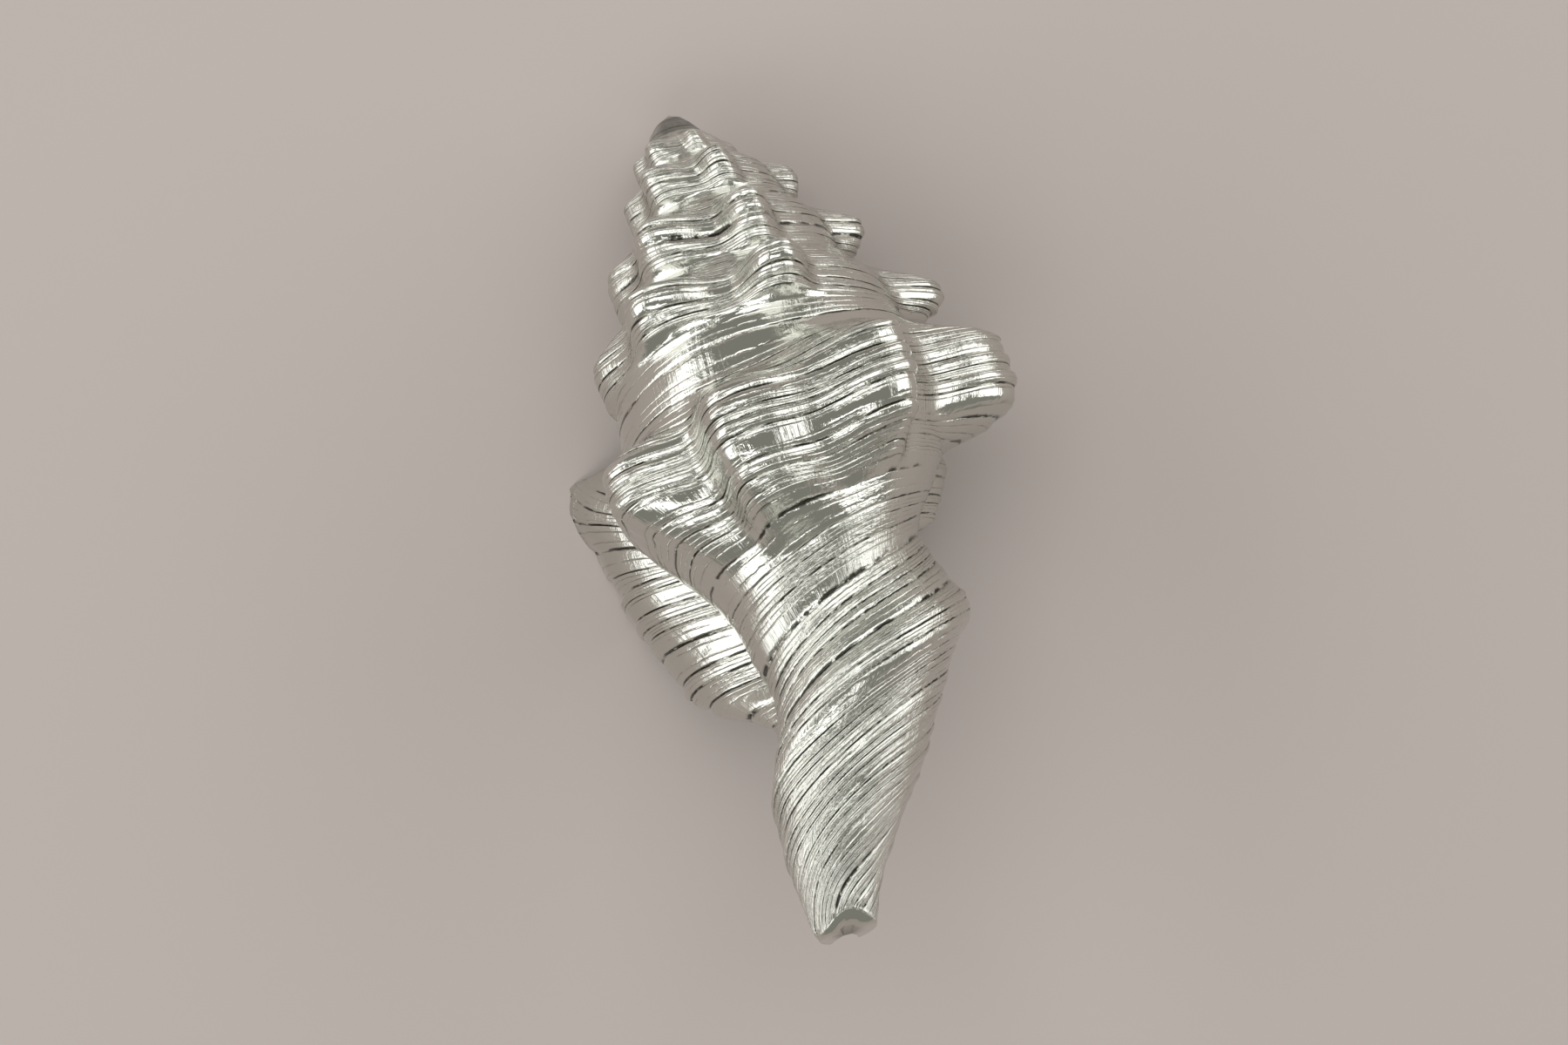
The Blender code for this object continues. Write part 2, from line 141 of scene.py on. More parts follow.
@dataclass
class Coil:
    """The coiled form: down the axis, out from it and round it, in millimetres and degrees."""

    lean: float = 6.4
    tilt: float = 21.0
    rest_cut: float = 1.9
    lip_turn: float = 5.6
    knob_a_turn: float = 5.0
    knob_a_azimuth: float = 90.0
    shoulder_row: float = 0.45
    ramp_power: float = 0.9
    suture: Stations = (
        (0.0, 0.8, 2.2), (1.0, 5.8, 5.8), (2.0, 13.0, 10.2), (3.0, 25.0, 15.5), (4.0, 41.0, 22.0),
        (4.2, 47.0, 25.0), (4.5, 50.5, 26.7), (5.0, 60.5, 31.0), (5.6, 68.0, 33.5), (6.0, 84.0, 34.5),
        (6.3, 93.0, 36.0), (6.6, 96.0, 33.0))
    shoulder: Stations = (
        (0.0, 2.8, 4.0), (1.0, 9.0, 8.4), (2.0, 17.0, 14.0), (3.0, 32.0, 20.3), (4.0, 49.5, 28.3),
        (4.5, 60.0, 31.5), (4.75, 67.0, 33.0), (5.0, 74.0, 34.0), (5.3, 83.0, 35.0), (5.6, 85.0, 35.0))
    core: Stations = (
        (60.0, 36.0), (92.0, 30.0), (110.0, 24.5), (120.0, 22.5), (130.0, 20.8), (142.0, 18.6),
        (151.0, 16.7), (160.0, 15.3), (166.0, 13.5), (172.0, 11.6), (177.4, 9.6), (183.0, 7.8),
        (CANAL_TIP, 6.2))
    base_blend: float = 26.0
    bulge: tuple[float, float, float] = (4.8, 131.0, 7.0)
    waist: tuple[float, float, float] = (-4.5, 111.0, 8.0)
    base_pitch: float = 60.0
    base_side: float = 60.0
    base_even: float = 0.55
    bend: tuple[float, float] = (129.5, -20.0)
    apex_bend: tuple[float, float] = (30.0, -3.6)
    spire_end: tuple[float, float] = (51.0, 73.0)
    spire_shift: float = 2.0
    spire_skew: float = 0.17
    lip_edge: Stations = (
        (0.0, 68.0, 33.5, 0.0), (0.2, 65.5, 46.0, 0.0), (0.42, 64.5, 60.0, 0.0), (0.55, 68.5, 62.5, 1.5),
        (0.75, 77.0, 63.5, 5.5), (1.0, 90.0, 64.0, 10.0), (1.2, 106.0, 58.0, 10.0),
        (1.36, 122.0, 47.0, 5.0), (1.45, 131.0, 35.0, 1.0), (1.55, 141.0, 21.0, 0.0),
        (1.65, 150.0, 15.0, 0.0), (2.0, CANAL_TIP, 6.2, 0.0))
    lip_start: float = -60.0
    lip_turn_in: float = 0.50
    lip_turn_in_rows: tuple[float, float, float, float] = (0.0, 0.42, 1.3, 1.6)
    flare_start: float = 0.42
    flare_power: float = 1.3
    edge_power: float = 7.0
    brim_arch: float = 3.5
    columella: Stations = (
        (1.0, 68.0, 33.5), (1.12, 80.0, 25.0), (1.25, 95.0, 18.0), (1.38, 112.0, 12.5),
        (1.5, 130.0, 11.0), (1.65, 150.0, 13.0), (1.75, 161.7, 13.5), (2.0, CANAL_TIP, 6.2))
    columella_end: float = 150.0
    wall: float = 2.2
    normal_step: float = 1e-3
    cavity_turns: float = 0.25
    cavity_taper: float = 0.6
    cavity_drop: float = 2.0
    pillar_taper: float = 0.25
    pillar_sink: float = 0.4
    wall_turn_rows: tuple[float, float] = (1.0, 1.4)
    slot: float = 6.5
    slot_rows: tuple[float, float] = (1.46, 1.66)
    slot_floor: float = 0.25
    slot_closing: float = 72.0
    slot_radius: float = 4.0
    twist: tuple[float, float] = (125.0, 40.0)
    notch: tuple[float, float, float] = (3.0, 12.0, 55.0)
    notch_rows: tuple[float, float] = (1.84, 2.0)
    knobs: Stations = (
        (92.0, 15.5, 22.0, 20.0, 74.0, 89.0, 5.0), (36.0, 12.0, 12.0, 30.0, 80.0, 96.0, 10.0),
        (-12.0, 11.0, 26.0, 16.0, 86.0, 104.0, 12.0), (-53.0, 10.8, 19.0, 20.0, 88.0, 94.0, 20.0),
        (128.0, 7.5, 12.0, 12.0, 91.0, 102.0, 6.0), (148.0, 12.2, 18.0, 18.0, 71.0, 87.0, 9.0),
        (190.0, 3.0, 18.0, 18.0, 66.0, 80.0, 10.0), (230.0, 3.0, 18.0, 18.0, 62.0, 76.0, 10.0))
    knob_rise: float = 9.0
    spire_knobs: Stations = (
        (98.0, 0.40, 15.0), (13.0, 0.40, 14.0), (-32.0, 0.30, 20.0), (-78.0, 0.14, 16.0),
        (-125.0, 0.12, 17.0), (-172.0, 0.12, 17.0), (-217.0, 0.22, 17.0))
    spire_knob_fade: float = 0.5
    spire_crest: float = 0.25
    spire_knob_turns: tuple[float, float] = (0.2, 1.6)
    last_whorl: tuple[float, float] = (4.52, 4.62)
    cord_rows: float = 7.3
    cord_gap: float = 3.0
    cord_pitch: float = 35.0
    cord_pitch_reach: float = 62.0
    cord_waver: Stations = ((0.16, 7.0, 5.0), (0.1, 23.0, -9.0))
    cord_widths: Stations = ((0.3, 1.7, 0.0), (0.08, 4.3, 2.0))
    scallop: float = 1.1
    scallop_rows: tuple[float, float, float, float] = (0.3, 0.45, 1.38, 1.5)
    scallop_fade: float = 4.0
    solid_columns: int = 45
    solid_rows: tuple[int, int] = (10, 24)

    def azimuth(self, turn: Array) -> Array:
        """Azimuth that the growth has reached; the shell coils to the right.

        Args:
            turn: Growth in turns.

        Returns:
            Degrees round the axis from the top.
        """
        return self.knob_a_azimuth - 360.0 * (turn - self.knob_a_turn)

    def knob_height(self, turn: Array, down: Array) -> Array:
        """Height of the knobs over the valleys between them.

        Args:
            turn: Growth in turns.
            down: Distance down the axis.

        Returns:
            Height in millimetres.
        """
        azimuth = self.azimuth(turn)
        last = smooth(*self.last_whorl, turn)
        body = np.zeros_like(turn)
        for middle, tall, before, after, start, end, tail in self.knobs:
            along = smooth(start - self.knob_rise, start, down) * (1.0 - smooth(end, end + tail, down))
            body = body + tall * bump(azimuth - middle, before, after) * along
        top = spline(self.shoulder, turn)
        low, high = spline(self.suture, turn + 1.0), spline(self.suture, turn)
        fade = self.spire_knob_fade * smooth(top + self.spire_crest * (low - top), low, down)
        along = smooth(high, top, down) ** 2 * (1.0 - fade)
        spire = np.zeros_like(turn)
        for middle, share, reach in self.spire_knobs:
            offset = (azimuth - middle + 180.0) % 360.0 - 180.0
            spire = spire + share * bump(offset, reach, reach)
        spire = spire * spline(self.shoulder, turn, 2) * along * smooth(*self.spire_knob_turns, turn)
        return last * body + (1.0 - last) * spire

    def plain_whorl(self, turn: Array, row: Array, knobs: float) -> tuple[Array, Array, Array]:
        """The whorl before the lip and the columella shape it.

        Args:
            turn: Growth in turns.
            row: 0 at the suture above, 1 at the one below, 2 at the canal's tip.
            knobs: Share of the knobs' height.

        Returns:
            Distance down the axis, radius and knob height.
        """
        top, top_radius = spline(self.suture, turn), spline(self.suture, turn, 2)
        mid, mid_radius = spline(self.shoulder, turn), spline(self.shoulder, turn, 2)
        low, low_radius = spline(self.suture, turn + 1.0), spline(self.suture, turn + 1.0, 2)
        ramp = np.clip(row / self.shoulder_row, 0.0, 1.0)
        side = np.clip((row - self.shoulder_row) / (1.0 - self.shoulder_row), 0.0, 1.0)
        base = np.clip(row - 1.0, 0.0, 1.0)
        down = top + (mid - top) * ramp + (low - mid) * side + (CANAL_TIP - low) * base
        radius = (top_radius + (mid_radius - top_radius) * ramp**self.ramp_power
                  + (low_radius - mid_radius) * side)
        azimuth = self.azimuth(turn)
        wound = down - self.base_pitch * (self.knob_a_azimuth - azimuth) / 360.0
        core = spline(self.core, down)
        strength = self.base_even + (1.0 - self.base_even) * np.cos(np.radians(azimuth - self.base_side))
        for tall, centre, reach in (self.bulge, self.waist):
            core = core + strength * tall * np.exp(-((wound - centre) / reach) ** 2)
        excess = (low_radius - spline(self.core, low)) * (1.0 - smooth(0.0, self.base_blend, down - low))
        radius = np.where(row > 1.0, core + excess, radius)
        height = self.knob_height(turn, down)
        return down, radius + knobs * height, height

    def cord_phase(self, turn: Array, row: Array) -> Array:
        """Counts the spiral cords from the shoulder down; whole numbers lie in the grooves.

        Args:
            turn: Growth in turns.
            row: Row down the whorl.

        Returns:
            The count, which rises by 1 from groove to groove.
        """
        low = spline(self.suture, turn + 1.0)
        below = (CANAL_TIP - low) * np.clip(row - 1.0, 0.0, 1.0)
        steeper = self.cord_pitch * (turn - self.knob_a_turn) * smooth(0.0, self.cord_pitch_reach, below)
        rows = (np.minimum(row, 1.0) - self.shoulder_row) * self.cord_rows
        waver = sum(share * np.sin(by_turn * turn + by_row * row)
                    for share, by_turn, by_row in self.cord_waver)
        even = rows + (below - steeper * (row > 1.0)) / self.cord_gap + waver
        return even + sum(share * np.sin(by_cord * even + by_turn * turn)
                          for share, by_cord, by_turn in self.cord_widths)

    def shell_point(self, turn: Array, row: Array, knobs: float, scallop: float = 0.0
                    ) -> tuple[Array, Array, Array]:
        """Distance, radius and azimuth of the outer surface.

        Args:
            turn: Growth in turns.
            row: Row down the whorl.
            knobs: Share of the knobs' height.
            scallop: Share of the scallops on the lip's edge.

        Returns:
            Distance down the axis, radius and azimuth.
        """
        down, radius, _ = self.plain_whorl(turn, row, knobs)
        azimuth, lip_azimuth = self.azimuth(turn), self.azimuth(np.array(self.lip_turn))
        share = np.clip((self.lip_start - azimuth) / (self.lip_start - lip_azimuth), 0.0, 1.0)
        brim = np.clip((share - self.flare_start) / (1.0 - self.flare_start), 0.0, 1.0)
        flare = brim**self.flare_power
        turned = smooth(0.0, self.lip_turn_in, share) * band(self.lip_turn_in_rows, row)
        inner = smooth(self.columella_end, lip_azimuth + 360.0, azimuth) * (row > 1.0)
        wave = np.abs(np.sin(0.5 * math.pi * self.cord_phase(turn, row))) - 0.5
        on_edge = band(self.scallop_rows, row)
        down = down + flare * (spline(self.lip_edge, row) - down)
        radius = radius + flare * (spline(self.lip_edge, row, 2) - radius)
        radius = radius + scallop * self.scallop * flare**self.scallop_fade * wave * on_edge
        arch = self.brim_arch * np.sin(math.pi * brim)
        azimuth = (azimuth + turned * (lip_azimuth - azimuth + arch)
                   - share**self.edge_power * spline(self.lip_edge, row, 3))
        down = down + inner * (spline(self.columella, row) - down)
        radius = radius + inner * (spline(self.columella, row, 2) - radius)
        gap = np.degrees(self.slot / np.maximum(radius, self.slot_radius)) * smooth(*self.slot_rows, row)
        side = np.clip((azimuth - lip_azimuth - 180.0) / 180.0, -1.0, 1.0)
        start, angle = self.twist
        azimuth = azimuth - side * gap / 2.0 - angle * smooth(start, CANAL_TIP, down)
        depth, notch_azimuth, half_width = self.notch
        notch = bump(azimuth - notch_azimuth, half_width, half_width)
        down = down - depth * notch * smooth(*self.notch_rows, row)
        return down, radius, azimuth

    def place(self, down: Array, radius: Array, azimuth: Array) -> Array:
        """Places points in the shell's lying frame, before it is set down on the table.

        Args:
            down: Distance down the axis.
            radius: Distance out from it.
            azimuth: Degrees round it from the top.

        Returns:
            The points, in millimetres.
        """
        lean, tilt = math.radians(self.lean), math.radians(self.tilt)
        axis = np.array([math.sin(lean) * math.cos(tilt), -math.cos(lean) * math.cos(tilt), math.sin(tilt)])
        right = np.array([math.cos(lean), math.sin(lean), 0.0])
        up = np.array([-math.sin(lean) * math.sin(tilt), math.cos(lean) * math.sin(tilt), math.cos(tilt)])
        angle = np.radians(azimuth)
        spire = 1.0 - smooth(*self.spire_end, down)
        across = (radius * np.sin(angle) + self.bend[1] * smooth(self.bend[0], CANAL_TIP, down)
                  + self.apex_bend[1] * (1.0 - smooth(0.0, self.apex_bend[0], down))
                  + self.spire_shift * spire)
        down = down + self.spire_skew * radius * np.sin(angle) * spire
        return (np.multiply.outer(down, axis) + np.multiply.outer(across, right)
                + np.multiply.outer(radius * np.cos(angle), up))

    def surface(self, turn: Array, row: Array, knobs: float = 1.0, scallop: float = 0.0) -> Array:
        """Points of the outer surface.

        Args:
            turn: Growth in turns.
            row: Rows down the whorl, of a shape that broadcasts with the turns.
            knobs: Share of the knobs' height.
            scallop: Share of the scallops on the lip's edge.

        Returns:
            The points, in millimetres.
        """
        turn, row = np.broadcast_arrays(np.asarray(turn, float), np.asarray(row, float))
        return self.place(*self.shell_point(turn, row, knobs, scallop))

    def lining(self, turn: float, row: Array) -> Array:
        """The outer surface without its knobs, moved inwards by the wall's thickness.

        Args:
            turn: Growth in turns.
            row: Rows down the whorl.

        Returns:
            The points, in millimetres.
        """
        step = self.normal_step
        centre = self.surface(turn, row, 0.0)
        along = self.surface(turn + step, row, 0.0) - self.surface(turn - step, row, 0.0)
        across = self.surface(turn, row + step, 0.0) - self.surface(turn, np.maximum(row - step, 0.0), 0.0)
        normal = np.cross(along, across)
        normal /= np.maximum(np.linalg.norm(normal, axis=-1, keepdims=True), TINY)
        return centre - normal * self.wall

    def set_down(self) -> Array:
        """How far the lying shell moves to stand centred on the table, with its rest flats worn.

        Returns:
            The move, in millimetres.
        """
        turns = np.arange(round(self.lip_turn * self.solid_columns) + 1)[:, None] / self.solid_columns
        early = turns[:, 0] < self.lip_turn - 1.0 - 0.5 / self.solid_columns
        spire, base = self.solid_rows
        rows = np.concatenate([np.linspace(0.0, 1.0, spire + 1), 1.0 + np.linspace(0.0, 1.0, base + 1)[1:]])
        points = np.concatenate([self.surface(turns[early], rows[None, :spire]).reshape(-1, 3),
                                 self.surface(turns[~early], rows[None, :]).reshape(-1, 3)])
        low, high = points.min(axis=0), points.max(axis=0)
        return -np.array([(low[0] + high[0]) / 2.0, (low[1] + high[1]) / 2.0, low[2] + self.rest_cut])


def put(name: str, data: bpy.types.ID) -> bpy.types.Object:
    """Puts a new object in the scene.

    Args:
        name: Its name.
        data: Its mesh, light or camera.

    Returns:
        The object.
    """
    thing = bpy.data.objects.new(name, data)
    bpy.context.scene.collection.objects.link(thing)
    return thing


class Wire:
    """A node's output that can stand in an expression."""

    def __init__(self, graph: "Graph", socket: bpy.types.NodeSocket) -> None:
        """Keeps the graph and the socket."""
        self.graph = graph
        self.socket = socket

    def _math(self, operation: str, *others: Any, swap: bool = False) -> "Wire":
        """Adds a Math node.

        Args:
            operation: The node's operation.
            others: Its other values or wires.
            swap: Puts the other value first.

        Returns:
            The result's wire.
        """
        values = [self, *others]
        if swap:
            values.reverse()
        return self.graph.add("ShaderNodeMath", {"operation": operation}, dict(enumerate(values)))

    def __add__(self, other: Any) -> "Wire":
        """Sum."""
        return self._math("ADD", other)

    __radd__ = __add__

    def __sub__(self, other: Any) -> "Wire":
        """Difference."""
        return self._math("SUBTRACT", other)

    def __rsub__(self, other: Any) -> "Wire":
        """Difference from a number."""
        return self._math("SUBTRACT", other, swap=True)

    def __mul__(self, other: Any) -> "Wire":
        """Product."""
        return self._math("MULTIPLY", other)

    __rmul__ = __mul__

    def __pow__(self, other: Any) -> "Wire":
        """Power."""
        return self._math("POWER", other)

    def __mod__(self, other: Any) -> "Wire":
        """Remainder that stays positive."""
        return self._math("FLOORED_MODULO", other)

    def __abs__(self) -> "Wire":
        """Absolute value."""
        return self._math("ABSOLUTE")

    def sine(self) -> "Wire":
        """Sine of the value in radians."""
        return self._math("SINE")

    def floor(self) -> "Wire":
        """Whole number below."""
        return self._math("FLOOR")

    def between(self, low: float, high: float) -> "Wire":
        """0 at low, 1 at high, smooth between and held outside."""
        return self.graph.add("ShaderNodeMapRange", {"interpolation_type": "SMOOTHSTEP"},
                              {"Value": self, "From Min": low, "From Max": high})


class Graph:
    """Builds the nodes of a material or of a geometry tree."""

    def __init__(self, tree: bpy.types.NodeTree) -> None:
        """Keeps the tree."""
        self.tree = tree

    def add(self, kind: str, settings: dict[str, Any] | None = None,
            sockets: dict[int | str, Any] | None = None, output: int | str = 0) -> Wire:
        """Adds one node.

        Args:
            kind: The node's type.
            settings: Its settings, set first.
            sockets: Values or wires by the socket's name or place.
            output: Which output to give back.

        Returns:
            The wire of that output.
        """
        node = self.tree.nodes.new(kind)
        for key, value in (settings or {}).items():
            setattr(node, key, value)
        for key, value in (sockets or {}).items():
            socket = node.inputs[key]
            if isinstance(value, Wire):
                self.tree.links.new(value.socket, socket)
            else:
                socket.default_value = value
        return Wire(self, node.outputs[output] if node.outputs else None)


@dataclass(frozen=True)
class CordRelief:
    """Geometry nodes that raise the spiral cords along the surface's normals."""

    depth: float = 1.0
    roundness: float = 0.36
    minor: float = 0.42
    uneven: float = 0.35
    wear: float = 0.5
    wear_scale: float = 260.0
    bare: float = 0.7
    bare_scale: float = 55.0
    bare_edge: tuple[float, float] = (0.40, 0.60)
    never_bare: tuple[float, float] = (0.7, 1.5)
    seed: float = 3.0

    def numbers(self) -> dict[str, float]:
        """The tree's number inputs.

        Returns:
            Values by the inputs' names.
        """
        return {"Depth": self.depth, "Roundness": self.roundness, "Minor": self.minor,
                "Uneven": self.uneven, "Wear": self.wear, "Wear Scale": self.wear_scale,
                "Bare": self.bare, "Bare Scale": self.bare_scale, "Seed": self.seed}

    def tree(self) -> bpy.types.NodeTree:
        """Builds the tree with its named inputs.

        Returns:
            The geometry tree.
        """
        tree = bpy.data.node_groups.new("spiral_cords", "GeometryNodeTree")
        face = tree.interface
        face.new_socket("Geometry", in_out="OUTPUT", socket_type="NodeSocketGeometry")
        face.new_socket("Geometry", in_out="INPUT", socket_type="NodeSocketGeometry")
        for name in self.numbers():
            face.new_socket(name, in_out="INPUT", socket_type="NodeSocketFloat")
        face.new_socket("Material", in_out="INPUT", socket_type="NodeSocketMaterial")
        graph = Graph(tree)
        source = tree.nodes.new("NodeGroupInput")
        value = {socket.name: Wire(graph, socket) for socket in source.outputs if socket.name}
        reading = {"data_type": "FLOAT"}
        phase = graph.add("GeometryNodeInputNamedAttribute", reading, {"Name": "cord_phase"})
        height = graph.add("GeometryNodeInputNamedAttribute", reading, {"Name": "cord_height"})
        index = phase.floor()
        crest = abs((phase * math.pi).sine()) ** value["Roundness"]
        chance = graph.add("ShaderNodeTexWhiteNoise", {"noise_dimensions": "1D"},
                           {"W": index + value["Seed"]}, "Value")
        share = (1.0 - value["Minor"] * (index % 2.0)) * (1.0 - value["Uneven"] * chance)
        grain = graph.add("ShaderNodeTexNoise", {"noise_dimensions": "4D"},
                          {"W": value["Seed"], "Scale": value["Wear Scale"], "Detail": 3.0, "Roughness": 0.6})
        patch = graph.add("ShaderNodeTexNoise", {"noise_dimensions": "4D"},
                          {"W": value["Seed"], "Scale": value["Bare Scale"], "Detail": 1.0})
        kept_high = height.between(*self.never_bare)
        smoothed = value["Bare"] * (1.0 - patch.between(*self.bare_edge)) * (1.0 - kept_high)
        worn = (1.0 + value["Wear"] * (2.0 * grain - 1.0)) * (1.0 - smoothed)
        raised = height * value["Depth"] * crest * share * worn * MM
        normal = graph.add("GeometryNodeInputNormal")
        offset = graph.add("ShaderNodeVectorMath", {"operation": "SCALE"}, {0: normal, "Scale": raised})
        moved = graph.add("GeometryNodeSetPosition", None, {"Geometry": value["Geometry"], "Offset": offset})
        real = graph.add("GeometryNodeRealizeInstances", None, {"Geometry": moved})
        dressed = graph.add("GeometryNodeSetMaterial", None,
                            {"Geometry": real, "Material": value["Material"]})
        graph.add("NodeGroupOutput", None, {"Geometry": dressed})
        return tree

    def apply(self, shell: bpy.types.Object, material: bpy.types.Material) -> bpy.types.Mesh:
        """Runs the tree on the shell.

        Args:
            shell: The smooth shell with its cord attributes.
            material: What it is made of.

        Returns:
            A plain mesh with the cords raised.
        """
        tree = self.tree()
        modifier = shell.modifiers.new("spiral_cords", "NODES")
        modifier.node_group = tree
        wanted = {**self.numbers(), "Material": material}
        for item in tree.interface.items_tree:
            if item.in_out == "INPUT" and item.name in wanted:
                modifier[item.identifier] = wanted[item.name]
        shell.update_tag()
        depsgraph = bpy.context.evaluated_depsgraph_get()
        mesh = bpy.data.meshes.new_from_object(shell.evaluated_get(depsgraph), preserve_all_data_layers=True,
                                               depsgraph=depsgraph)
        shell.modifiers.remove(modifier)
        return mesh


@dataclass(frozen=True)
class PolishedSilver:
    """Bright silver skin, darkened a little by tarnish in its grooves, with painted shade deep in the
    aperture and darker towards the apex.
    """

    bright: tuple[float, float, float] = (0.63, 0.63, 0.585)
    tarnish_and_shade_tone: tuple[float, float, float] = (0.07, 0.07, 0.058)
    warm: tuple[float, float, float] = (0.42, 0.36, 0.30)
    gloss: float = 0.035
    dull_rough: float = 0.12
    line_rough: float = 0.03
    groove_width: float = 0.36
    groove_breaks: tuple[float, float] = (0.40, 0.52)
    threads: float = 3.0
    thread_width: float = 0.5
    thread_breaks: tuple[float, float] = (0.36, 0.52)
    thread_dark: float = 0.5
    relief_range: tuple[float, float] = (0.05, 0.5)
    drawn_stretch: tuple[float, float] = (0.16, 2.4)
    line_stretch: tuple[float, float] = (1.1, 0.5)
    wander: float = 0.5
    groove_wander: float = 0.3
    cloud_scale: float = 60.0
    tarnish_clouds: tuple[float, float] = (0.36, 0.56)
    warm_clouds: tuple[float, float] = (0.58, 0.75)
    warm_share: float = 0.5
    apex_length: tuple[float, float] = (60.0, 150.0)
    # Darker towards the apex.
    first_dark: float = 0.65
    # How much painted shade darkens the aperture's inside.
    inside_painted_shade: float = 0.5
    grit_scale: float = 450.0
    grit: float = 0.32
    bump_depth: float = 0.00032
    bump_strength: float = 0.9

    def material(self) -> bpy.types.Material:
        """Builds the material.

        Returns:
            The silver.
        """
        material = bpy.data.materials.new("polished_silver")
        material.use_nodes = True
        tree = material.node_tree
        graph = Graph(tree)
        shader = tree.nodes["Principled BSDF"]
        shader.inputs["Metallic"].default_value = 1.0
        growth = graph.add("ShaderNodeUVMap", {"uv_map": "growth"})
        along = graph.add("ShaderNodeSeparateXYZ", None, {0: growth})
        cords = Wire(graph, along.socket.node.outputs[1])
        height = graph.add("ShaderNodeAttribute", {"attribute_name": "cord_height"}, output="Fac")
        relief = height.between(*self.relief_range)
        inside = graph.add("ShaderNodeAttribute", {"attribute_name": "inside"}, output="Fac")
        place = graph.add("ShaderNodeTexCoord", output="Object")
        drawn = self.stretched(graph, along, cords, self.drawn_stretch)
        lines = self.stretched(graph, along, cords, self.line_stretch)
        cloud = self.noise(graph, place, self.cloud_scale)
        grit = self.noise(graph, place, self.grit_scale)
        wander = self.wander * (drawn - 0.5)
        in_groove = abs(((cords + self.groove_wander * wander) * math.pi).sine())
        groove = 1.0 - in_groove.between(0.0, self.groove_width)
        in_thread = abs(((cords * self.threads + wander) * math.pi).sine())
        thread = (1.0 - in_thread.between(0.0, self.thread_width)) * drawn.between(*self.thread_breaks)
        broken = drawn.between(*self.groove_breaks)
        dark = groove * broken * (0.3 + 0.7 * relief) + self.thread_dark * thread * (0.4 + 0.6 * relief)
        # Darker towards the apex, fading over the first growth lengths.
        first = 1.0 - along.between(*self.apex_length)
        tarnish_and_shade_sum = dark * cloud.between(*self.tarnish_clouds)
        # Painted shade deep inside the aperture and the darker apex are added to the tarnish in the grooves.
        tarnish_and_shade_sum = tarnish_and_shade_sum + self.inside_painted_shade * inside + self.first_dark * first
        tarnish_and_shade = tarnish_and_shade_sum.between(0.1, 1.0)
        tint = self.mix(graph, tarnish_and_shade, self.bright, self.tarnish_and_shade_tone)
        browned = self.warm_share * cloud.between(*self.warm_clouds) * dark
        colour = self.mix(graph, browned, tint, self.warm)
        rough = self.gloss + self.dull_rough * tarnish_and_shade + self.line_rough * lines
        level = (0.8 * drawn + 0.5 * lines - 0.8 * groove - 0.6 * thread) * (0.25 + 0.75 * relief)
        level = level + self.grit * grit
        bumped = graph.add("ShaderNodeBump", None, {"Strength": self.bump_strength,
                                                    "Distance": self.bump_depth, "Height": level})
        for name, wire in (("Base Color", colour), ("Roughness", rough), ("Normal", bumped)):
            tree.links.new(wire.socket, shader.inputs[name])
        return material

    def stretched(self, graph: Graph, along: Wire, cords: Wire, stretch: tuple[float, float]) -> Wire:
        """Noise drawn out along the growth or across it.

        Args:
            graph: Where the nodes go.
            along: Growth length.
            cords: Cord count.
            stretch: How often it changes along and across.

        Returns:
            Values round 0.5.
        """
        where = graph.add("ShaderNodeCombineXYZ", None, {0: along * stretch[0], 1: cords * stretch[1]})
        return self.noise(graph, where, 1.0)

    @staticmethod
    def noise(graph: Graph, where: Wire, scale: float) -> Wire:
        """Noise texture.

        Args:
            graph: Where the node goes.
            where: The coordinates.
            scale: Its scale.

        Returns:
            Values round 0.5.
        """
        return graph.add("ShaderNodeTexNoise", None,
                         {"Vector": where, "Scale": scale, "Detail": 4.0, "Roughness": 0.6})

    @staticmethod
    def mix(graph: Graph, share: Wire, first: Any, second: Any) -> Wire:
        """Mixes two colours.

        Args:
            graph: Where the node goes.
            share: 0 for the first colour, 1 for the second.
            first: A colour or a wire.
            second: A colour or a wire.

        Returns:
            The mixed colour.
        """
        pair = [c if isinstance(c, Wire) else (*c, 1.0) for c in (first, second)]
        return graph.add("ShaderNodeMix", {"data_type": "RGBA"}, {0: share, 6: pair[0], 7: pair[1]}, 2)


@dataclass(frozen=True)
class SkinEdges:
    """Numbers of the points along the outer surface's open edges."""

    columella: Array
    lip: Array
    tip: Array


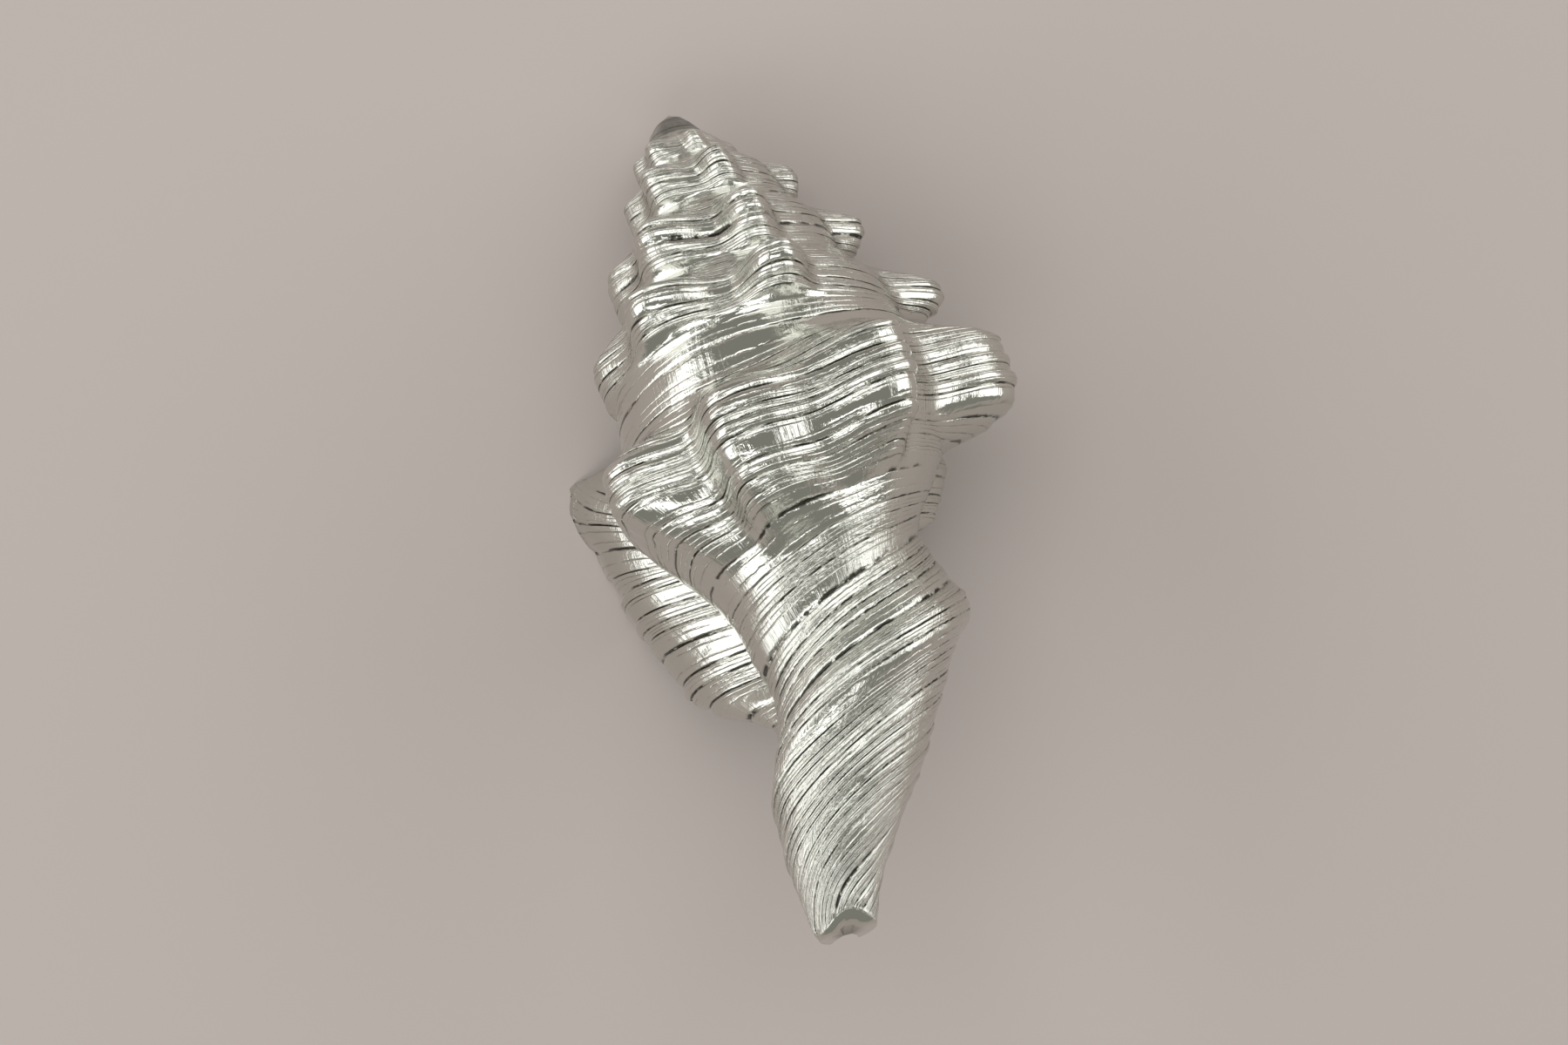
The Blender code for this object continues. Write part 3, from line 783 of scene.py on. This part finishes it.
@dataclass
class ConchShell:
    """The whole shell: one skin from the apex to the canal, and the cavity behind the lip."""

    coil: Coil = field(default_factory=Coil)
    columns: int = 240
    ramp_rows: int = 8
    side_rows: int = 24
    base_rows: int = 185
    cavity_sections: int = 24
    cavity_start: float = 0.1
    rim_sections: int = 3
    rim_bulge: float = 0.9
    rim_step: float = 0.002
    taper_start: float = 0.2
    taper_row: float = 1.1
    middle_rows: float = 8.0 / 24.0
    middle_share: float = 0.56
    hub_shift: float = 0.22
    deep_from: float = 0.15
    ramp_cord: float = 0.30
    side_cord: float = 0.5
    knob_cord: float = 0.10
    knob_most: float = 12.0
    base_cord: float = 1.1
    waist_cord: float = 0.25
    canal_cord: float = 0.70
    lip_cord: float = 1.25
    lining_cord: float = 0.3
    hidden_cord: float = 0.25
    ramp_end: tuple[float, float] = (0.36, 0.5)
    first_cords: tuple[float, float] = (0.3, 3.0)
    base_start: tuple[float, float] = (0.0, 12.0)
    bold_start: tuple[float, float] = (16.0, 30.0)
    bold_pitch: float = 20.0
    canal_start: tuple[float, float] = (35.0, 70.0)
    lip_band: tuple[float, float] = (-80.0, -118.0)
    lip_rows: tuple[float, float, float, float] = (0.3, 0.5, 1.4, 1.6)
    lining_rows: tuple[float, float, float, float] = (0.3, 0.5, 1.3, 1.5)
    seam_rows: tuple[float, float] = (0.08, 0.93)
    tip_rows: tuple[float, float] = (1.97, 2.0)
    growth_length: float = 226.0
    lining_length: float = 60.0
    crest_phase: float = 0.5
    finish: PolishedSilver = field(default_factory=PolishedSilver)

    def __post_init__(self) -> None:
        """Lays out the rows and columns."""
        shoulder = self.coil.shoulder_row
        self.rows = np.concatenate([np.linspace(0.0, shoulder, self.ramp_rows + 1),
                                    np.linspace(shoulder, 1.0, self.side_rows + 1)[1:],
                                    np.linspace(1.0, 2.0, self.base_rows + 1)[1:]])
        self.spire = self.ramp_rows + self.side_rows
        self.count = len(self.rows)
        self.last = round(self.coil.lip_turn * self.columns)
        self.first_body = self.last - self.columns
        self.points: list[Array] = []
        self.marks: list[Array] = []
        self.quads: list[Array] = []
        self.charts: list[Array] = []
        self.total = 0

    def cord_height(self, turn: Array, row: Array) -> Array:
        """How far the cords stand up.

        Args:
            turn: Growth in turns.
            row: Row down the whorl.

        Returns:
            Height in millimetres.
        """
        coil = self.coil
        down, _, knob = coil.plain_whorl(turn, row, 1.0)
        on_knob = self.knob_cord * np.minimum(knob, self.knob_most)
        below = down - spline(coil.suture, turn + 1.0)
        side = self.ramp_cord + smooth(*self.ramp_end, row) * (self.side_cord - self.ramp_cord + on_knob)
        waist = self.waist_cord + on_knob
        base = self.base_cord + (self.canal_cord - self.base_cord) * smooth(*self.canal_start, below)
        bold = smooth(*self.bold_start, below - self.bold_pitch * (turn - coil.knob_a_turn))
        under = waist + (base - waist) * bold
        height = np.where(row > 1.0, side + (under - side) * smooth(*self.base_start, below),
                          side * smooth(*self.first_cords, turn))
        azimuth = coil.azimuth(turn)
        edge = smooth(*self.lip_band, azimuth) * band(self.lip_rows, row)
        height = height + edge * (self.lip_cord - height)
        under_seam, over_seam = self.seam_rows
        joined = np.where(turn <= coil.lip_turn - 1.0, smooth(1.0, over_seam, row), 1.0)
        seam = smooth(0.0, under_seam, row) * joined
        tip = 1.0 - smooth(*self.tip_rows, row)
        entry = smooth(coil.azimuth(np.array(coil.lip_turn - 1.0)), coil.columella_end, azimuth)
        seen = np.where(row > 1.0, self.hidden_cord + (1.0 - self.hidden_cord) * entry, 1.0)
        return height * seam * tip * seen

    def add(self, points: Array, phase: Array, height: Array, inside: Array | float) -> Array:
        """Adds points and what the nodes and the finish read at them.

        Args:
            points: Positions, in millimetres.
            phase: Cord count.
            height: Cord height.
            inside: 0 outside, up to 1 deep in the aperture, where the finish paints shade.

        Returns:
            The points' numbers.
        """
        shape = points.shape[:-1]
        self.points.append(points.reshape(-1, 3))
        marks = np.stack([np.broadcast_to(v, shape).ravel() for v in (phase, height, inside)], axis=1)
        self.marks.append(marks)
        numbers = np.arange(self.total, self.total + marks.shape[0]).reshape(shape)
        self.total += marks.shape[0]
        return numbers

    def sheet(self, numbers: Array, along: Array, phase: Array, flip: bool = False) -> None:
        """Joins a grid of points into faces.

        Args:
            numbers: The grid's point numbers.
            along: Growth length at each point, for the finish.
            phase: Cord count at each point.
            flip: Turns the faces round.
        """
        a, b = np.s_[:-1], np.s_[1:]
        corners = [(a, a), (a, b), (b, b), (b, a)]
        if flip:
            corners.reverse()
        self.quads.append(np.stack([numbers[c] for c in corners], axis=-1).reshape(-1, 4))
        chart = np.stack([along, phase], axis=-1)
        self.charts.append(np.stack([chart[c] for c in corners], axis=-2).reshape(-1, 4, 2))

    def grow_skin(self) -> SkinEdges:
        """Makes the outer surface.

        Returns:
            Point numbers along its open edges.
        """
        coil, start = self.coil, self.spire
        turns = np.arange(self.last + 1)[:, None] / self.columns
        phase = coil.cord_phase(turns, self.rows[None, :])
        height = self.cord_height(*np.broadcast_arrays(turns, self.rows[None, :]))
        along = np.broadcast_to(turns * self.growth_length, phase.shape)
        numbers = np.full((self.last + 1, self.count), -1)
        body = np.s_[self.first_body:]
        early = np.s_[:self.first_body]
        for part, rows in ((early, np.s_[:start]), (body, np.s_[:])):
            points = coil.surface(turns[part], self.rows[None, rows], 1.0, 1.0)
            kept = np.ones(points.shape[:2], bool)
            if part == body:
                kept[0, start] = False
            fresh = self.add(points[kept], phase[part, rows][kept], height[part, rows][kept],
                             Part.OUTSIDE.value)
            block = np.full(kept.shape, -1)
            block[kept] = fresh
            numbers[part, rows] = block
        shared = np.arange(self.first_body + 1)
        numbers[shared, start] = numbers[shared + self.columns, 0]
        spire = np.s_[:self.first_body + 1, :start + 1]
        self.sheet(numbers[spire], along[spire], phase[spire])
        self.sheet(numbers[body], along[body], phase[body])
        loop = [*numbers[:self.columns + 1, 0], *numbers[0, start - 1:0:-1]]
        tip = self.add(coil.place(*np.zeros((3, 1))), 0.0, 0.0, Part.OUTSIDE.value)[0]
        self.fan(loop + loop[:1], tip, 0.0)
        return SkinEdges(numbers[self.first_body], numbers[self.last], numbers[body, -1])

    def fan(self, line: list[int], hub: int, along: float) -> None:
        """Joins a line of points to a hub with triangles.

        Args:
            line: Point numbers in order.
            hub: The middle point.
            along: Growth length there, for the finish.
        """
        faces = [(a, b, hub, -1) for a, b in zip(line, line[1:]) if a != b]
        self.quads.append(np.array(faces))
        self.charts.append(np.tile((along, self.crest_phase), (len(faces), 4, 1)))

    def section(self, step: float) -> tuple[Array, Array, Array]:
        """One section of the cavity.

        Args:
            step: 0 at the lip, 1 at the cavity's end.

        Returns:
            Points of its outer side, of its columella side and its top corner.
        """
        coil, rows, start = self.coil, self.rows, self.spire
        turn = coil.lip_turn - (step - self.cavity_start) * coil.cavity_turns
        groove = smooth(*coil.slot_rows, rows)[:, None]
        hollow = coil.lining(turn, rows)
        down, radius, azimuth = coil.shell_point(np.full_like(rows, coil.lip_turn), rows, 1.0)
        sunk = radius * (1.0 - (1.0 - coil.slot_floor) * step)
        closing = math.cos(math.radians(coil.slot_closing * step))
        half = np.degrees(np.arctan2(0.5 * coil.slot * closing, sunk))
        centre = azimuth - 0.5 * np.degrees(coil.slot / np.maximum(radius, coil.slot_radius))
        outer = hollow + groove * (coil.place(down, sunk, centre + half) - hollow)
        down, radius, azimuth = coil.shell_point(np.full_like(rows, coil.lip_turn - 1.0), rows, 1.0)
        climb = (spline(coil.suture, np.array(turn)) + coil.cavity_drop * step
                 - spline(coil.suture, np.array(coil.lip_turn)))
        down = down + (1.0 - smooth(*coil.wall_turn_rows, rows)) * climb
        radius = radius * (1.0 - coil.pillar_taper * step) - coil.pillar_sink
        pillar = coil.place(down, radius, azimuth + 360.0 * coil.cavity_turns * step)
        inner = pillar + groove * (coil.place(down, sunk, centre - half) - pillar)
        corner = coil.lining(turn, rows[:1])[0]
        near = round(self.middle_rows * self.base_rows)
        middle = (self.middle_share * outer[:start].mean(axis=0)
                  + (1.0 - self.middle_share) * inner[start:start + near].mean(axis=0))
        narrowed = coil.cavity_taper * smooth(self.taper_start, 1.0, np.array(step))
        taper = narrowed * (1.0 - smooth(self.taper_row, coil.slot_rows[0], rows))[:, None]
        return (outer + taper * (middle - outer), inner + taper * (middle - inner),
                corner + taper[0] * (middle - corner))

    def hollow_out(self, edges: SkinEdges) -> list[int]:
        """Makes the cavity: both its sides run back from the lip and meet in an end wall.

        Args:
            edges: The skin's open edges.

        Returns:
            Point numbers round the canal's open end.
        """
        first, last = edges.columella, edges.lip
        coil, start, rows = self.coil, self.spire, self.rows
        steps = np.linspace(self.cavity_start, 1.0, self.cavity_sections)
        parts = [self.section(step) for step in steps]
        points = np.concatenate(self.points)
        groove = smooth(*coil.slot_rows, rows)[:, None]
        ahead = coil.surface(coil.lip_turn, rows) - coil.surface(coil.lip_turn - self.rim_step, rows)
        ahead /= np.maximum(np.linalg.norm(ahead, axis=-1, keepdims=True), TINY)
        rim = []
        for k in range(1, self.rim_sections + 1):
            share = k / (self.rim_sections + 1)
            swell = self.rim_bulge * math.sin(math.pi * share) * (1.0 - groove)
            outer = points[last] + share * (parts[0][0] - points[last]) + swell * ahead
            inner = points[first] + share * (parts[0][1] - points[first])
            top = points[last[0]] + share * (parts[0][2] - points[last[0]])
            rim.append((outer, inner, top))
        parts, steps = rim + parts, np.concatenate([np.zeros(self.rim_sections), steps])
        phase = coil.cord_phase(np.full_like(rows, coil.lip_turn), rows)
        edge = self.cord_height(np.full_like(rows, coil.lip_turn), rows)
        lining = self.lining_cord * band(self.lining_rows, rows)
        outer_numbers, inner_numbers = [last], [first[start:]]
        for k, (outer, inner, corner) in enumerate(parts):
            inside = smooth(self.deep_from, 1.0, steps[k])
            height = edge + min((k + 1) / (self.rim_sections + 1), 1.0) * (lining - edge)
            row_out = self.add(outer[1:], phase[1:], height[1:] * (1.0 - inside), inside)
            row_in = self.add(inner[start + 1:], phase[start + 1:], 0.0, inside)
            top = self.add(corner[None], 0.0, 0.0, inside)
            outer_numbers.append(np.concatenate([top, row_out]))
            inner_numbers.append(np.concatenate([top, row_in]))
        outer_grid, inner_grid = np.array(outer_numbers), np.array(inner_numbers)
        deeper = np.linspace(0.0, self.lining_length, len(outer_grid))[:, None]
        along = coil.lip_turn * self.growth_length + deeper
        phases = np.broadcast_to(phase, outer_grid.shape)
        self.sheet(outer_grid, np.broadcast_to(along, outer_grid.shape), phases)
        self.sheet(inner_grid, np.broadcast_to(along, inner_grid.shape), phases[:, start:], flip=True)
        wall = outer_grid[-1], inner_grid[-1]
        points = np.concatenate(self.points)
        centre = points[wall[0][:start + 1]].mean(axis=0)
        centre = centre + self.hub_shift * (points[wall[0][0]] - centre)
        hub = self.add(centre[None], 0.0, 0.0, Part.APERTURE.value)[0]
        self.fan([*wall[0][:start + 1], wall[0][0]], hub, float(along[-1, 0]))
        ladder = np.stack([wall[0][start + 1:], wall[1][1:]])
        self.quads.append(np.array([(wall[0][start], wall[0][start + 1], wall[1][1], wall[1][0])]))
        self.charts.append(np.tile((float(along[-1, 0]), self.crest_phase), (1, 4, 1)))
        self.sheet(ladder, np.full(ladder.shape, along[-1, 0]), np.full(ladder.shape, self.crest_phase))
        return [*edges.tip, *outer_grid[1:, -1], *inner_grid[:0:-1, -1]]

    def build(self) -> bpy.types.Object:
        """Builds the shell's finished mesh and puts it in the scene.

        Returns:
            The shell.
        """
        smooth_shell = self.assemble(self.hollow_out(self.grow_skin()))
        mesh = CordRelief().apply(smooth_shell, self.finish.material())
        bpy.data.objects.remove(smooth_shell, do_unlink=True)
        heights = np.empty(3 * len(mesh.vertices), np.float32)
        mesh.vertices.foreach_get("co", heights)
        heights[2::3] = np.maximum(heights[2::3], 0.0)
        mesh.vertices.foreach_set("co", heights)
        mesh.shade_smooth()
        return put("silver_shell", mesh)

    def assemble(self, rim: list[int]) -> bpy.types.Object:
        """Sets the points down on the table and joins them.

        Args:
            rim: Point numbers round the canal's open end.

        Returns:
            The shell without its cords.
        """
        points = (np.concatenate(self.points) + self.coil.set_down()) * MM
        marks = np.concatenate(self.marks)
        quads = np.concatenate(self.quads)
        charts = np.concatenate(self.charts)
        whole = quads[:, 3] >= 0
        faces = [q.tolist() if full else q[:3].tolist() for q, full in zip(quads, whole)]
        mesh = bpy.data.meshes.new("smooth_shell")
        mesh.from_pydata(points.tolist(), [], faces + [[int(number) for number in rim]])
        used = np.ones((len(quads), 4), bool)
        used[~whole, 3] = False
        grown = self.coil.lip_turn * self.growth_length
        chart = np.concatenate([charts[used], np.tile((grown, self.crest_phase), (len(rim), 1))])
        mesh.uv_layers.new(name="growth").data.foreach_set("uv", chart.astype(np.float32).ravel())
        for k, name in enumerate(("cord_phase", "cord_height", "inside")):
            values = marks[:, k].astype(np.float32)
            mesh.attributes.new(name, "FLOAT", "POINT").data.foreach_set("value", values)
        edit = bmesh.new()
        edit.from_mesh(mesh)
        bmesh.ops.triangulate(edit, faces=[face for face in edit.faces if len(face.verts) > 4])
        bmesh.ops.recalc_face_normals(edit, faces=edit.faces)
        edit.to_mesh(mesh)
        edit.free()
        mesh.shade_smooth()
        return put("smooth_shell", mesh)


@dataclass(frozen=True)
class Softbox:
    """A soft studio light."""

    name: str
    azimuth: float
    elevation: float
    distance: float
    size: tuple[float, float]
    power: float

    def build(self, target: Vector) -> None:
        """Puts up the light.

        Args:
            target: What it faces.
        """
        turn, rise = math.radians(self.azimuth), math.radians(self.elevation)
        away = Vector((math.sin(turn) * math.cos(rise), math.cos(turn) * math.cos(rise), math.sin(rise)))
        data = bpy.data.lights.new(self.name, "AREA")
        data.shape, data.size, data.size_y = "RECTANGLE", *self.size
        data.energy = self.power
        light = put(self.name, data)
        light.location = target + away * self.distance
        light.rotation_mode = "QUATERNION"
        light.rotation_quaternion = away.to_track_quat("Z", "Y")


@dataclass
class Studio:
    """Paper floor, soft lights and the camera that looks straight down."""

    paper: tuple[float, float, float] = (0.462, 0.410, 0.388)
    paper_rough: float = 0.95
    paper_size: float = 3.0
    around: tuple[float, float, float] = (0.285, 0.285, 0.256)
    around_strength: float = 1.0
    aim: tuple[float, float, float] = (0.0, 0.0, 0.04)
    camera_at: tuple[float, float, float] = (-0.00425, -0.00263, 0.970)
    camera_turn: float = 12.1
    lens: float = 100.0
    lights: tuple[Softbox, ...] = (
        Softbox("top_softbox", 10.0, 64.0, 1.5, (1.6, 1.1), 9.2),
        Softbox("left_softbox", -80.0, 24.0, 1.2, (1.8, 0.95), 9.2),
        Softbox("right_softbox", 75.0, 22.0, 1.2, (1.6, 0.85), 7.0),
        Softbox("foot_softbox", 195.0, 56.0, 1.3, (1.0, 0.45), 3.6),
    )

    def floor(self) -> bpy.types.Object:
        """Makes the paper.

        Returns:
            The floor.
        """
        half = self.paper_size / 2.0
        mesh = bpy.data.meshes.new("paper_floor")
        mesh.from_pydata([(-half, -half, 0.0), (half, -half, 0.0), (half, half, 0.0), (-half, half, 0.0)], [],
                         [(0, 1, 2, 3)])
        material = bpy.data.materials.new("matt_paper")
        material.use_nodes = True
        shader = material.node_tree.nodes["Principled BSDF"]
        shader.inputs["Base Color"].default_value = (*self.paper, 1.0)
        shader.inputs["Roughness"].default_value = self.paper_rough
        mesh.materials.append(material)
        return put("paper_floor", mesh)

    def camera(self) -> None:
        """Puts up the camera, looking straight down, turned as the photograph is."""
        data = bpy.data.cameras.new("camera")
        data.lens = self.lens
        camera = put("camera", data)
        turn = math.radians(self.camera_turn)
        camera.matrix_world = Matrix.Translation(self.camera_at) @ Matrix.Rotation(-turn, 4, "Z")
        bpy.context.scene.camera = camera

    def build(self) -> None:
        """Builds the floor, the lights, the surroundings and the camera."""
        self.floor()
        for light in self.lights:
            light.build(Vector(self.aim))
        world = bpy.data.worlds.new("studio")
        world.use_nodes = True
        background = world.node_tree.nodes["Background"]
        background.inputs["Color"].default_value = (*self.around, 1.0)
        background.inputs["Strength"].default_value = self.around_strength
        bpy.context.scene.world = world
        bpy.context.scene.view_settings.view_transform = "Standard"
        self.camera()


def main() -> None:
    """Builds the shell and its studio."""
    logging.basicConfig(level=logging.INFO)
    shell = ConchShell().build()
    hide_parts("conch_shell")
    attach(shell, "root")
    triangles = sum(len(face.vertices) - 2 for face in shell.data.polygons)
    LOG.info("%s: %d triangles", shell.name, triangles)
    Studio().build()


if __name__ == "__main__":
    main()
